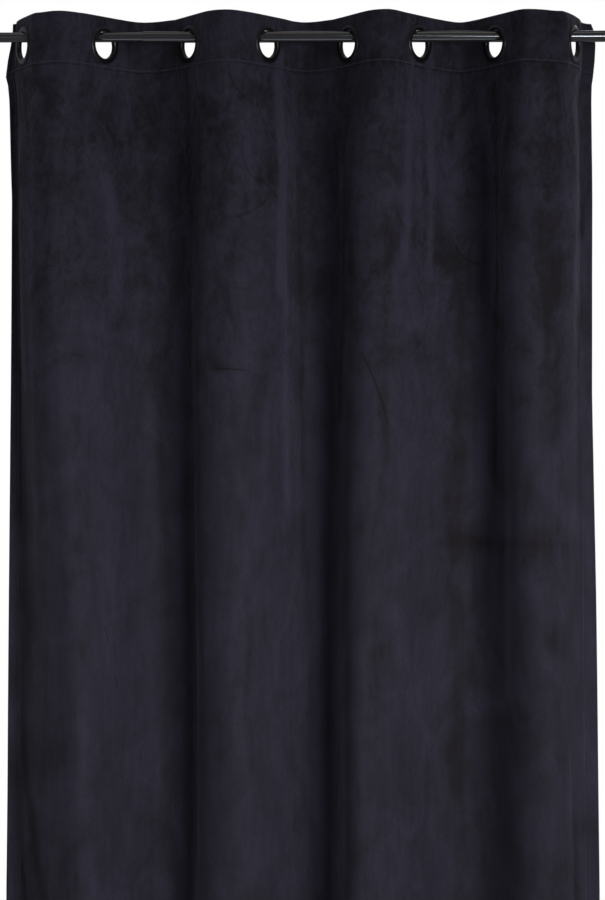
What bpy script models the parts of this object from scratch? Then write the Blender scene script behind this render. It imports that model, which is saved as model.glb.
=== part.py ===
"""Velvet eyelet curtain on its telescopic rod.

Metres, +Z up. The rod runs along X with its axis through the origin, and the
curtain's face looks along -Y. The cloth is one hung sheet: a fold line is worked
out for every height from the tables below, and stretched in depth until it is as
long as the flat cloth is wide. Each eyelet is a front and a back ring, closed
over the edge of its hole, and hangs on the rod by its inner wall.
"""
import math

import bmesh
import bpy
import numpy as np

# Sizes of the flat curtain
FLAT_WIDTH = 1.400
DROP = 2.600
CLOTH = 0.0016
DOUBLED = 0.0028
HEADING = 0.082
SIDE_HEM = 0.025
BOTTOM_HEM = 0.090
SEAM_STEP = 0.002

# Sizes of the eyelets, which are about 179 mm apart along the cloth
EYELETS = 8
HOLE_RADIUS = 0.0215
BARREL_RADIUS = 0.0225
CLOTH_HOLE_RADIUS = 0.0230
RING_RADIUS = 0.0300
BARREL_BACK = -0.0034
BARREL_FRONT = 0.0027
RING_FROM_TOP = 0.0455
RING_SIDES = 24
FLAT_ROUND_RING = 0.033
BLEND_TO_FOLD = 0.058
PART_GAP = 0.00035
HANG_GAP = 0.0006

# Sizes of the rod
ROD_LEFT = -0.600
ROD_RIGHT = 0.600
THIN_RADIUS = 0.0080
THIN_WALL = 0.0010
THIN_END = 0.050
THICK_RADIUS = 0.0092
THICK_WALL = 0.0008
THICK_START = -0.2536
END_WALL = 0.0015
ROD_SIDES = 32

# Heights below the top edge at which the folds are given
LEVELS = (0.10, 0.25, 1.20, 2.60)

# Crests of the folds: name, then x and depth at each of the four levels, front crests negative in depth
CRESTS = (
    ("left edge", 0.000, 0.058, 0.000, 0.052, 0.000, 0.036, 0.000, 0.040),
    ("bulge 1", -0.384, -0.056, -0.396, -0.058, -0.352, -0.058, -0.350, -0.052),
    ("recess 1", -0.254, 0.056, -0.252, 0.060, -0.212, 0.060, -0.230, 0.052),
    ("bulge 2", -0.119, -0.058, -0.106, -0.060, -0.108, -0.060, -0.108, -0.054),
    ("recess 2", 0.004, 0.061, 0.004, 0.060, 0.030, 0.060, 0.018, 0.054),
    ("bulge 3", 0.134, -0.058, 0.124, -0.060, 0.090, -0.056, 0.100, -0.050),
    ("recess 3", 0.257, 0.065, 0.278, 0.060, 0.268, 0.046, 0.272, 0.046),
    ("bulge 4", 0.355, -0.058, 0.352, -0.060, 0.382, -0.046, 0.386, -0.050),
    ("right edge", 0.000, 0.058, 0.000, 0.052, 0.000, 0.026, 0.000, 0.040),
)

# Flanks between the crests: how open the fold is, and how far it leans, at each level
FLANKS = (
    (-0.02, -0.17, -0.40, -0.22, 0.00, -0.05, 0.10, 0.00),
    (0.16, 0.02, 0.10, 0.06, 0.10, 0.00, 0.10, 0.00),
    (-0.12, 0.06, -0.65, 0.03, -0.66, -0.06, -0.10, 0.00),
    (0.28, 0.03, 0.10, 0.18, 0.10, 0.10, 0.15, 0.00),
    (-0.05, 0.04, -0.60, 0.04, -0.45, 0.00, -0.10, 0.00),
    (0.34, -0.04, 0.10, -0.02, 0.05, 0.00, 0.10, 0.00),
    (0.26, 0.02, -0.60, 0.00, -0.30, 0.00, 0.00, 0.00),
    (-0.30, 0.16, -0.30, 0.20, -0.10, 0.00, 0.10, 0.00),
)

# Side edges: distance below the top edge, x of the left edge, x of the right edge
SIDE_EDGES = (
    (0.000, -0.4685, 0.4700),
    (0.017, -0.4692, 0.4765),
    (0.036, -0.4721, 0.4768),
    (0.060, -0.4768, 0.4755),
    (0.086, -0.4801, 0.4728),
    (0.100, -0.4767, 0.4707),
    (0.125, -0.4744, 0.4700),
    (0.205, -0.4720, 0.4698),
    (0.285, -0.4697, 0.4703),
    (0.450, -0.4708, 0.4694),
    (0.600, -0.4720, 0.4684),
    (0.925, -0.4752, 0.4731),
    (1.250, -0.4778, 0.4758),
    (1.400, -0.4799, 0.4772),
    (2.600, -0.4820, 0.4800),
)
LEFT_CORNER_DROOP = 0.001
RIGHT_CORNER_DROOP = 0.004

STEPS_IN_FLANK = 40
COLUMNS_BETWEEN_RINGS = 7
ROWS_IN_HEADING = (0.000, 0.0125, 0.0290, 0.0455, 0.0620, 0.0785, HEADING, HEADING + SEAM_STEP)
ROWS_BELOW = (0.105, 0.150, 0.215, 0.300, 0.420, 0.560, 0.700, 0.850, 1.000, 1.150, 1.300,
              1.450, 1.650, 1.880, 2.120, 2.340)


def clear_scene():
    for thing in list(bpy.data.objects):
        bpy.data.objects.remove(thing, do_unlink=True)


def make_material(name, colour, roughness, metallic):
    material = bpy.data.materials.new(name)
    material.use_nodes = True
    shader = material.node_tree.nodes["Principled BSDF"]
    shader.inputs["Base Color"].default_value = (*colour, 1.0)
    shader.inputs["Roughness"].default_value = roughness
    shader.inputs["Metallic"].default_value = metallic
    material.diffuse_color = (*colour, 1.0)
    return material


def add_object(name, mesh, material):
    mesh.materials.append(material)
    thing = bpy.data.objects.new(name, mesh)
    bpy.context.scene.collection.objects.link(thing)
    return thing


def ease(amount):
    amount = np.clip(amount, 0.0, 1.0)
    return amount * amount * (3.0 - 2.0 * amount)


def between_levels(table, column, drop):
    """Value of one column pair at a height, eased between the levels."""
    values = np.array([[row[column + 2 * level] for level in range(len(LEVELS))] for row in table])
    now = values[:, 0]
    for level in range(1, len(LEVELS)):
        share = ease((drop - LEVELS[level - 1]) / (LEVELS[level] - LEVELS[level - 1]))
        now = now + share * (values[:, level] - values[:, level - 1])
    return now


def fold_line(drop, stretch=1.0):
    """Points of the cloth's middle, seen from above, at a distance below the top edge."""
    edges = np.array(SIDE_EDGES)
    crest_x = between_levels(CRESTS, 1, drop)
    crest_x[0] = np.interp(drop, edges[:, 0], edges[:, 1])
    crest_x[-1] = np.interp(drop, edges[:, 0], edges[:, 2])
    crest_y = stretch * between_levels(CRESTS, 2, drop)
    opening = between_levels(FLANKS, 0, drop)
    lean = between_levels(FLANKS, 1, drop)
    way = np.linspace(0.0, 1.0, STEPS_IN_FLANK, endpoint=False)
    across = (1.0 - np.cos(math.pi * way)) / 2.0
    xs, ys = [], []
    for flank in range(len(FLANKS)):
        sway = opening[flank] * np.sin(2.0 * math.pi * way) / (2.0 * math.pi)
        along = way - sway + lean[flank] * np.sin(math.pi * way) ** 2
        xs.append(crest_x[flank] + (crest_x[flank + 1] - crest_x[flank]) * along)
        ys.append(crest_y[flank] + (crest_y[flank + 1] - crest_y[flank]) * across)
    xs.append(crest_x[-1:])
    ys.append(crest_y[-1:])
    return np.concatenate(xs), np.concatenate(ys)


def distance_along(xs, ys):
    return np.concatenate([[0.0], np.cumsum(np.hypot(np.diff(xs), np.diff(ys)))])


def fitted_line(drop):
    """Fold line stretched in depth until it is as long as the cloth is wide."""
    low, high = 0.5, 2.0
    for _ in range(30):
        stretch = (low + high) / 2.0
        if distance_along(*fold_line(drop, stretch))[-1] < FLAT_WIDTH:
            low = stretch
        else:
            high = stretch
    xs, ys = fold_line(drop, stretch)
    return distance_along(xs, ys), xs, ys


def ring_height(angle, rod_radius):
    """Height of a ring's centre when its inner wall rests on the rod."""
    around = np.linspace(0.0, 2.0 * math.pi, 181)
    deep = np.linspace(BARREL_BACK, BARREL_FRONT, 9)[:, None]
    y = HOLE_RADIUS * np.cos(around) * math.sin(angle) - deep * math.cos(angle)
    low, high = -HOLE_RADIUS, 0.0
    for _ in range(30):
        height = (low + high) / 2.0
        clear = np.hypot(y, height + HOLE_RADIUS * np.sin(around)).min() - rod_radius
        if clear < HANG_GAP:
            low = height
        else:
            high = height
    return high


def place_rings():
    """Where the heading's fold line crosses the rod: along the cloth, x, angle and height."""
    along, xs, ys = fitted_line(RING_FROM_TOP)
    rings = []
    for i in np.nonzero(np.diff(np.sign(ys)))[0]:
        share = ys[i] / (ys[i] - ys[i + 1])
        x = xs[i] + share * (xs[i + 1] - xs[i])
        angle = math.atan2(ys[i + 2] - ys[i - 1], xs[i + 2] - xs[i - 1])
        radius = THIN_RADIUS if x < THICK_START else THICK_RADIUS
        rings.append((along[i] + share * (along[i + 1] - along[i]), x, angle, ring_height(angle, radius)))
    return rings


def sheet_columns(rings):
    """Distances along the cloth: hem edges, a flat patch at each ring, and the folds between."""
    stops = [0.0, SIDE_HEM, SIDE_HEM + SEAM_STEP]
    for number, (along, _, _, _) in enumerate(rings):
        stops += [along - FLAT_ROUND_RING, along - 0.011, along + 0.011, along + FLAT_ROUND_RING]
        if number < EYELETS - 1:
            following = rings[number + 1][0] - FLAT_ROUND_RING
            stops += list(np.linspace(stops[-1], following, COLUMNS_BETWEEN_RINGS + 1)[1:-1])
    stops += [FLAT_WIDTH - SIDE_HEM - SEAM_STEP, FLAT_WIDTH - SIDE_HEM, FLAT_WIDTH]
    return np.array(stops)


def sheet_rows():
    hem = [DROP - BOTTOM_HEM - SEAM_STEP, DROP - BOTTOM_HEM, DROP]
    return np.array(list(ROWS_IN_HEADING) + list(ROWS_BELOW) + hem)


def corner_droop(columns, rings):
    left = ease((rings[0][0] - FLAT_ROUND_RING - columns) / (rings[0][0] - FLAT_ROUND_RING))
    right_start = rings[-1][0] + FLAT_ROUND_RING
    right = ease((columns - right_start) / (FLAT_WIDTH - right_start))
    return LEFT_CORNER_DROOP * left + RIGHT_CORNER_DROOP * right


def middle_surface(columns, rows, rings):
    """Middle of the cloth as rows of points, flat round each ring, with its facing."""
    heights = np.interp(columns, [ring[0] for ring in rings], [ring[3] for ring in rings])
    top = heights + RING_FROM_TOP - corner_droop(columns, rings)
    points = np.zeros((len(rows), len(columns), 3))
    for row, drop in enumerate(rows):
        along, xs, ys = fitted_line(drop)
        points[row, :, 0] = np.interp(columns, along, xs)
        points[row, :, 1] = np.interp(columns, along, ys)
        points[row, :, 2] = top - drop
    for along, x, angle, height in rings:
        aside = columns[None, :] - along
        below = rows[:, None] - RING_FROM_TOP
        far = np.maximum(np.abs(aside), np.abs(below) * np.ones_like(aside))
        flat = ease((BLEND_TO_FOLD - far) / (BLEND_TO_FOLD - FLAT_ROUND_RING))[..., None]
        patch = np.zeros_like(points)
        patch[..., 0] = x + aside * math.cos(angle)
        patch[..., 1] = aside * math.sin(angle)
        patch[..., 2] = height - below
        points = points + flat * (patch - points)
    sideways = np.gradient(points, axis=1)
    facing = np.stack([sideways[..., 1], -sideways[..., 0], np.zeros_like(sideways[..., 0])], axis=-1)
    facing /= np.linalg.norm(facing, axis=-1, keepdims=True)
    for along, x, angle, height in rings:
        near = np.abs(columns - along) < FLAT_ROUND_RING + 0.001
        in_heading = np.abs(rows - RING_FROM_TOP) < FLAT_ROUND_RING + 0.001
        facing[np.ix_(in_heading, near)] = (math.sin(angle), -math.cos(angle), 0.0)
    return points, facing


def sheet_thickness(columns, rows):
    """Doubled at the heading and the hems, single elsewhere."""
    hem_row = (rows <= HEADING + 1e-6) | (rows >= DROP - BOTTOM_HEM - 1e-6)
    hem_column = (columns <= SIDE_HEM + 1e-6) | (columns >= FLAT_WIDTH - SIDE_HEM - 1e-6)
    return np.where(hem_row[:, None] | hem_column[None, :], DOUBLED, CLOTH)[..., None]


def closed_sheet(front, back):
    """Closed mesh of two matching grids of points and the rim between them."""
    rows, columns, _ = front.shape
    points = np.concatenate([front.reshape(-1, 3), back.reshape(-1, 3)])
    rear = rows * columns
    faces = []
    for row in range(rows - 1):
        for column in range(columns - 1):
            corner = row * columns + column
            below = corner + columns
            for face in ((corner, below, below + 1), (corner, below + 1, corner + 1)):
                faces.append(face)
                faces.append(tuple(rear + i for i in reversed(face)))
    rim = list(range(columns))
    rim += [row * columns + columns - 1 for row in range(1, rows)]
    rim += [(rows - 1) * columns + column for column in range(columns - 2, -1, -1)]
    rim += [row * columns for row in range(rows - 2, 0, -1)]
    for here, there in zip(rim, rim[1:] + rim[:1]):
        faces.append((here, there, rear + there, rear + here))
    mesh = bpy.data.meshes.new("sheet")
    mesh.from_pydata(points.tolist(), [], faces)
    mesh.update()
    return mesh


def lathe(name, profile, sides):
    """Closed ring of a profile (radius, distance towards the face) about the local Y axis."""
    form = bmesh.new()
    loops = []
    for side in range(sides):
        turn = 2.0 * math.pi * side / sides
        loops.append([form.verts.new((r * math.cos(turn), -out, r * math.sin(turn))) for r, out in profile])
    for side in range(sides):
        here, there = loops[side], loops[(side + 1) % sides]
        for i in range(len(profile)):
            j = (i + 1) % len(profile)
            form.faces.new((here[i], here[j], there[j], there[i]))
    bmesh.ops.recalc_face_normals(form, faces=form.faces)
    mesh = bpy.data.meshes.new(name)
    form.to_mesh(mesh)
    form.free()
    return mesh


def make_sheet(rings, material):
    columns = sheet_columns(rings)
    rows = sheet_rows()
    middle, facing = middle_surface(columns, rows, rings)
    front = middle + facing * DOUBLED / 2.0
    back = front - facing * sheet_thickness(columns, rows)
    return add_object("curtain_panel", closed_sheet(front, back), material)


def cut_ring_holes(panel, rings, material):
    """Round holes through the heading, one for each eyelet's barrel."""
    form = bmesh.new()
    for _, x, angle, height in rings:
        made = bmesh.ops.create_cone(form, cap_ends=True, segments=RING_SIDES, depth=0.020,
                                     radius1=CLOTH_HOLE_RADIUS, radius2=CLOTH_HOLE_RADIUS)
        for vert in made["verts"]:
            across, up, out = vert.co
            vert.co = (x + across * math.cos(angle) + out * math.sin(angle),
                       across * math.sin(angle) - out * math.cos(angle), height + up)
    mesh = bpy.data.meshes.new("ring_holes")
    form.to_mesh(mesh)
    form.free()
    cutter = add_object("ring_holes", mesh, material)
    cutter.hide_render = True
    cutter.display_type = "WIRE"
    holes = panel.modifiers.new("ring holes", "BOOLEAN")
    holes.operation = "DIFFERENCE"
    holes.solver = "EXACT"
    holes.object = cutter


def make_eyelets(rings, material):
    """Front ring with the barrel, and back ring closed over it, for each hole."""
    seat = DOUBLED / 2.0 + PART_GAP
    front = [(HOLE_RADIUS, BARREL_BACK), (BARREL_RADIUS, BARREL_BACK), (BARREL_RADIUS, seat), (RING_RADIUS, seat),
             (RING_RADIUS, 0.0029), (0.0286, 0.0038), (0.0255, 0.0041), (0.0226, 0.0037),
             (HOLE_RADIUS, BARREL_FRONT)]
    back = [(0.0229, -0.0038), (0.0255, -0.0041), (0.0286, -0.0038), (RING_RADIUS, -0.0029),
            (RING_RADIUS, -seat), (0.0229, -seat)]
    for number, (_, x, angle, height) in enumerate(rings, start=1):
        for side, profile in (("front", front), ("back", back)):
            name = f"eyelet_{number}_{side}"
            ring = add_object(name, lathe(name, profile, RING_SIDES), material)
            ring.location = (x, 0.0, height)
            ring.rotation_euler = (0.0, 0.0, angle)


def make_tube(name, radius, wall, closed_end, open_end, material):
    """Tube along X with its far end closed, made as one turned profile."""
    inwards = math.copysign(END_WALL, open_end - closed_end)
    form = bmesh.new()
    outline = [(closed_end, radius), (open_end, radius), (open_end, radius - wall),
               (closed_end + inwards, radius - wall)]
    loops = []
    for x, r in outline:
        turns = [2.0 * math.pi * side / ROD_SIDES for side in range(ROD_SIDES)]
        loops.append([form.verts.new((x, r * math.cos(turn), r * math.sin(turn))) for turn in turns])
    for here, there in zip(loops, loops[1:]):
        for side in range(ROD_SIDES):
            after = (side + 1) % ROD_SIDES
            form.faces.new((here[side], here[after], there[after], there[side]))
    form.faces.new(loops[0])
    form.faces.new(loops[-1])
    bmesh.ops.recalc_face_normals(form, faces=form.faces)
    mesh = bpy.data.meshes.new(name)
    form.to_mesh(mesh)
    form.free()
    return add_object(name, mesh, material)


clear_scene()
velvet = make_material("velvet", (0.022, 0.021, 0.031), 0.85, 0.0)
ring_metal = make_material("ring_metal", (0.055, 0.055, 0.058), 0.32, 0.9)
rod_metal = make_material("rod_metal", (0.100, 0.100, 0.106), 0.38, 0.6)

ring_places = place_rings()
curtain = make_sheet(ring_places, velvet)
cut_ring_holes(curtain, ring_places, velvet)
make_eyelets(ring_places, ring_metal)
make_tube("rod_thin_tube", THIN_RADIUS, THIN_WALL, ROD_LEFT, THIN_END, rod_metal)
make_tube("rod_thick_tube", THICK_RADIUS, THICK_WALL, ROD_RIGHT, THICK_START, rod_metal)
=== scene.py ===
"""Dark velvet eyelet curtain on a satin black telescopic rod.

Metres, +Z up. The rod's axis runs along X through the origin, and the pile side faces -Y.
"""

import math

import bmesh
import bpy
import numpy as np
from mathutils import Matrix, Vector, noise


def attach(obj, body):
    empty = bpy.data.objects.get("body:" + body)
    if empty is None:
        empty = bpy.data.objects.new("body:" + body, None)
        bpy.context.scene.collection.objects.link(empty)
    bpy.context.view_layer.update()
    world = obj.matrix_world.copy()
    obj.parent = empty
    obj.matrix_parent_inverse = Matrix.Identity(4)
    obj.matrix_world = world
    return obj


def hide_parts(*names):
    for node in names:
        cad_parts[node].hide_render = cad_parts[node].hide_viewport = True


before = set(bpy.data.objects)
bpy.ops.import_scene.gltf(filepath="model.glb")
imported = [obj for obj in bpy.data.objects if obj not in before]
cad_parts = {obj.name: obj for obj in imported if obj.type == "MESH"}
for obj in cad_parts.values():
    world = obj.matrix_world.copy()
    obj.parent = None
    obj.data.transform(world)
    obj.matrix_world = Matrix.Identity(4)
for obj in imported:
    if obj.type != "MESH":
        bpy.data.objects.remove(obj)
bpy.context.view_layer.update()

# Camera.
# The curtain is seen from straight in front with a long lens, from the middle of the part that the
# picture holds, and with a very slight roll.
VIEW_WIDTH = 0.968
CAMERA_AWAY = 4.0
CAMERA_HEIGHT = -0.661
CAMERA_ROLL = math.radians(0.12)


def add_object(name, data):
    made = bpy.data.objects.new(name, data)
    bpy.context.scene.collection.objects.link(made)
    return made


camera_data = bpy.data.cameras.new("camera")
camera_data.sensor_fit = "HORIZONTAL"
camera_data.sensor_width = 36.0
camera_data.lens = 36.0 * CAMERA_AWAY / VIEW_WIDTH
camera = add_object("camera", camera_data)
camera.location = (0.0, -CAMERA_AWAY, CAMERA_HEIGHT)
camera.rotation_euler = (math.radians(90.0), CAMERA_ROLL, 0.0)
bpy.context.scene.camera = camera


# Rod.
# Two steel tubes painted satin black. The thin one slides inside the thick one, whose open end has a
# turned-in lip, and each tube's far end is closed.
THIN_RADIUS = 0.0080
THIN_BORE = 0.0070
THICK_RADIUS = 0.0092
THICK_BORE = 0.0084
ROD_LEFT = -0.600
ROD_RIGHT = 0.600
THIN_END = 0.050
THICK_START = -0.2536
END_WALL = 0.0015
END_ROUND = 0.0008
TURNED_SIDES = 72


def add_piece(name, mesh, materials):
    for material in materials:
        mesh.materials.append(material)
    return add_object(name, mesh)


def turned(name, profile, place, sharp_degrees):
    """Smooth solid turned from (distance, radius) points, closed on the axis or round on itself."""
    form = bmesh.new()
    turns = [2.0 * math.pi * side / TURNED_SIDES for side in range(TURNED_SIDES)]
    loops = []
    for distance, radius in profile:
        spots = [place(distance, radius * math.cos(turn), radius * math.sin(turn)) for turn in turns]
        loops.append([form.verts.new(spot) for spot in spots])
    on_axis = profile[0][1] == 0.0
    for here, there in zip(loops, loops[1:] if on_axis else loops[1:] + loops[:1]):
        for side in range(TURNED_SIDES):
            after = (side + 1) % TURNED_SIDES
            form.faces.new((here[side], here[after], there[after], there[side]))
    bmesh.ops.remove_doubles(form, verts=form.verts, dist=1.0e-6)
    bmesh.ops.recalc_face_normals(form, faces=form.faces)
    for face in form.faces:
        face.smooth = True
    for edge in form.edges:
        edge.smooth = edge.calc_face_angle(0.0) < math.radians(sharp_degrees)
    mesh = bpy.data.meshes.new(name)
    form.to_mesh(mesh)
    form.free()
    return mesh


def new_material(name, colour, roughness, metallic):
    material = bpy.data.materials.new(name)
    material.use_nodes = True
    shader = material.node_tree.nodes["Principled BSDF"]
    shader.inputs["Base Color"].default_value = (*colour, 1.0)
    shader.inputs["Roughness"].default_value = roughness
    shader.inputs["Metallic"].default_value = metallic
    material.diffuse_color = (*colour, 1.0)
    return material, material.node_tree, shader


def new_node(tree, kind, inputs=(), **settings):
    """Node with its settings and inputs, numbers or other nodes' sockets, to the right of those nodes."""
    node = tree.nodes.new(kind)
    for key, value in settings.items():
        setattr(node, key, value)
    column = 0.0
    for key, given in dict(inputs).items():
        if isinstance(given, bpy.types.NodeSocket):
            tree.links.new(given, node.inputs[key])
            column = max(column, given.node.location.x + 220.0)
        else:
            node.inputs[key].default_value = given
    node.location = (column, -200.0 * sum(other.location.x == column for other in tree.nodes))
    return node


def new_group(name, kind, inputs, outputs):
    """Node group whose inputs are given as a number or as the kind of socket."""
    group = bpy.data.node_groups.new(name, kind)
    for label, given in inputs:
        socket_kind = given if isinstance(given, str) else type(given).__name__.title()
        socket = group.interface.new_socket(label, in_out="INPUT", socket_type="NodeSocket" + socket_kind)
        if socket_kind != given:
            socket.default_value = given
    output_kind = "NodeSocketFloat" if kind == "ShaderNodeTree" else "NodeSocketGeometry"
    for label in outputs:
        group.interface.new_socket(label, in_out="OUTPUT", socket_type=output_kind)
    return group, new_node(group, "NodeGroupInput").outputs


def handled_metal_group():
    """Faint cloudiness and short rubbed lines, as painted or plated metal has after handling."""
    inputs = (("Cloud Size", 60.0), ("Rub Size", 900.0), ("Position", "Vector"))
    group, start = new_group("handled_metal", "ShaderNodeTree", inputs, ("Wear", "Height"))
    cloud = new_node(group, "ShaderNodeTexNoise",
                     {"Vector": start["Position"], "Scale": start["Cloud Size"], "Detail": 4.0})
    rub = new_node(group, "ShaderNodeTexNoise", {"Vector": start["Position"], "Scale": start["Rub Size"],
                                                 "Detail": 2.0, "Distortion": 0.6})
    both = new_node(group, "ShaderNodeMix",
                    {"Factor": 0.35, "A": cloud.outputs["Fac"], "B": rub.outputs["Fac"]}, data_type="FLOAT")
    new_node(group, "NodeGroupOutput", {"Wear": both.outputs["Result"], "Height": rub.outputs["Fac"]})
    return group


def tint_and_relief(tree, shader, tone, dark, light, height=None, strength=1.0, distance=1.0):
    """Colour that goes from dark to light with a tone, and relief from a height."""
    tint = new_node(tree, "ShaderNodeMix", {"Factor": tone, "A": (*dark, 1.0), "B": (*light, 1.0)},
                    data_type="RGBA")
    tree.links.new(tint.outputs["Result"], shader.inputs["Base Color"])
    if height is not None:
        inputs = {"Strength": strength, "Distance": distance, "Height": height}
        relief = new_node(tree, "ShaderNodeBump", inputs)
        tree.links.new(relief.outputs["Normal"], shader.inputs["Normal"])


def metal_finish(name, dark, light, roughness, metallic, cloud_size, rub_size, bump):
    """Dark metal whose colour and gloss drift slightly over its surface."""
    material, tree, shader = new_material(name, light, roughness[0], metallic)
    place = new_node(tree, "ShaderNodeTexCoord")
    wear = new_node(tree, "ShaderNodeGroup",
                    {"Position": place.outputs["Object"], "Cloud Size": cloud_size, "Rub Size": rub_size},
                    node_tree=handled_metal)
    span = {"From Min": 0.3, "From Max": 0.7, "To Min": roughness[0], "To Max": roughness[1]}
    gloss = new_node(tree, "ShaderNodeMapRange", {"Value": wear.outputs["Wear"], **span})
    tree.links.new(gloss.outputs["Result"], shader.inputs["Roughness"])
    tint_and_relief(tree, shader, wear.outputs["Wear"], dark, light, wear.outputs["Height"], 0.25, bump)
    return material


handled_metal = handled_metal_group()
rod_paint = metal_finish("satin_black_paint", dark=(0.085, 0.085, 0.090), light=(0.125, 0.125, 0.132),
                         roughness=(0.08, 0.13), metallic=0.80, cloud_size=45.0, rub_size=700.0, bump=0.00004)


def tube_outline(end, inward, radius, bore, open_end):
    """Outline of a tube from its closed end, whose edge is slightly round, round its open end and back."""
    return [(end, 0.0), (end, radius - END_ROUND), (end + inward * 0.00025, radius - 0.00025),
            (end + inward * END_ROUND, radius), *open_end,
            (end + inward * END_WALL, bore), (end + inward * END_WALL, 0.0)]


plain_end = [(THIN_END, THIN_RADIUS), (THIN_END, THIN_BORE)]
lip = [(THICK_START + 0.0012, THICK_RADIUS), (THICK_START + 0.0006, THICK_RADIUS - 0.0001),
       (THICK_START + 0.0001, THICK_RADIUS - 0.00035), (THICK_START, THICK_BORE + 0.0001),
       (THICK_START + 0.0003, THICK_BORE - 0.0001), (THICK_START + 0.0012, THICK_BORE)]
thin_outline = tube_outline(ROD_LEFT, 1.0, THIN_RADIUS, THIN_BORE, plain_end)
thick_outline = tube_outline(ROD_RIGHT, -1.0, THICK_RADIUS, THICK_BORE, lip)
for name, outline, node in (("thin_rod_tube", thin_outline, "rod_thin_tube"),
                            ("thick_rod_tube", thick_outline, "rod_thick_tube")):
    tube = add_piece(name, turned(name, outline, lambda x, y, z: (x, y, z), 35.0), [rod_paint])
    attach(tube, "root")
    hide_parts(node)


# Curtain panel.
# One width of polyester velvet with a doubled heading, side hems and a bottom hem, all turned to the
# back and sewn through. It hangs in eight flanks from its eyelets, and the folds drift lower down.
FLAT_WIDTH = 1.400
DROP = 2.600
CLOTH = 0.0016
DOUBLED = 0.0028
HEADING = 0.082
SIDE_HEM = 0.025
BOTTOM_HEM = 0.090
RING_FROM_TOP = 0.0455
RING_HOLE = 0.0215
CLOTH_HOLE = 0.0245
HOLE_REACH = 0.0232
FLAT_ROUND_RING = 0.033
BLEND_TO_FOLD = 0.058
HANG_GAP = 0.00015

# Heights below the top edge at which the folds are given
LEVELS = (0.10, 0.25, 1.20, 2.60)

# Crests of the folds: name, then x and depth at the heading, at a sixth, low down and at the hem
CRESTS = (
    ("left edge", 0.000, 0.058, 0.000, 0.052, 0.000, 0.036, 0.000, 0.040),
    ("bulge 1", -0.384, -0.056, -0.396, -0.058, -0.352, -0.058, -0.350, -0.052),
    ("recess 1", -0.254, 0.056, -0.252, 0.060, -0.212, 0.060, -0.230, 0.052),
    ("bulge 2", -0.119, -0.058, -0.106, -0.060, -0.108, -0.060, -0.108, -0.054),
    ("recess 2", 0.004, 0.061, 0.004, 0.060, 0.030, 0.060, 0.018, 0.054),
    ("bulge 3", 0.134, -0.058, 0.124, -0.060, 0.090, -0.056, 0.100, -0.050),
    ("recess 3", 0.257, 0.065, 0.278, 0.060, 0.268, 0.046, 0.272, 0.046),
    ("bulge 4", 0.355, -0.058, 0.352, -0.060, 0.382, -0.046, 0.386, -0.050),
    ("right edge", 0.000, 0.058, 0.000, 0.052, 0.000, 0.026, 0.000, 0.040),
)

# Flanks between the crests: how open the fold is, and how far it leans, at each level
FLANKS = (
    (-0.02, -0.17, -0.40, -0.22, 0.00, -0.05, 0.10, 0.00),
    (0.16, 0.02, 0.10, 0.06, 0.10, 0.00, 0.10, 0.00),
    (-0.12, 0.06, -0.65, 0.03, -0.66, -0.06, -0.10, 0.00),
    (0.28, 0.03, 0.10, 0.18, 0.10, 0.10, 0.15, 0.00),
    (-0.05, 0.04, -0.60, 0.04, -0.45, 0.00, -0.10, 0.00),
    (0.34, -0.04, 0.10, -0.02, 0.05, 0.00, 0.10, 0.00),
    (0.26, 0.02, -0.60, 0.00, -0.30, 0.00, 0.00, 0.00),
    (-0.30, 0.16, -0.30, 0.20, -0.10, 0.00, 0.10, 0.00),
)

# Side edges: distance below the top edge, x of the left edge, x of the right edge
SIDE_EDGES = (
    (0.000, -0.4685, 0.4700),
    (0.017, -0.4692, 0.4765),
    (0.036, -0.4721, 0.4768),
    (0.060, -0.4768, 0.4755),
    (0.086, -0.4801, 0.4728),
    (0.100, -0.4767, 0.4707),
    (0.125, -0.4744, 0.4700),
    (0.205, -0.4720, 0.4698),
    (0.285, -0.4697, 0.4703),
    (0.450, -0.4708, 0.4694),
    (0.600, -0.4720, 0.4684),
    (0.925, -0.4752, 0.4731),
    (1.250, -0.4778, 0.4758),
    (1.400, -0.4799, 0.4772),
    (2.600, -0.4820, 0.4800),
)
LEFT_CORNER_DROOP = 0.001
RIGHT_CORNER_DROOP = 0.004

# Creases: along the cloth and below the top edge at the start, the same at the end, width, height
CREASES = (
    # lower left corner, where the side hem rolls forward
    (0.010, 1.290, 0.050, 1.430, 0.012, -0.0028),
    (0.050, 1.060, 0.058, 1.450, 0.022, 0.0032),
    (0.092, 1.060, 0.104, 1.430, 0.022, -0.0034),
    # long soft break in the third recess
    (1.084, 0.100, 1.086, 0.540, 0.018, -0.0020),
    (1.098, 0.800, 1.110, 1.300, 0.020, -0.0024),
    # soft break along the right side
    (1.340, 1.180, 1.344, 1.430, 0.018, -0.0034),
    (1.372, 0.500, 1.384, 0.900, 0.018, 0.0024),
    # fold lines left by the folded pack, and where the cloth was gripped
    (1.030, 0.845, 1.315, 0.840, 0.018, -0.0022),
    (1.030, 0.815, 1.200, 0.808, 0.014, 0.0014),
    (0.490, 0.563, 0.575, 0.571, 0.012, -0.0011),
    (0.519, 0.215, 0.560, 0.260, 0.012, -0.0014),
    (0.560, 0.260, 0.606, 0.262, 0.012, -0.0014),
    (0.545, 0.300, 0.620, 0.330, 0.012, -0.0012),
    (0.530, 0.340, 0.590, 0.395, 0.012, -0.0012),
    (0.300, 0.150, 0.330, 0.190, 0.014, -0.0012),
    (0.110, 0.836, 0.150, 0.850, 0.014, -0.0012),
)

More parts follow.
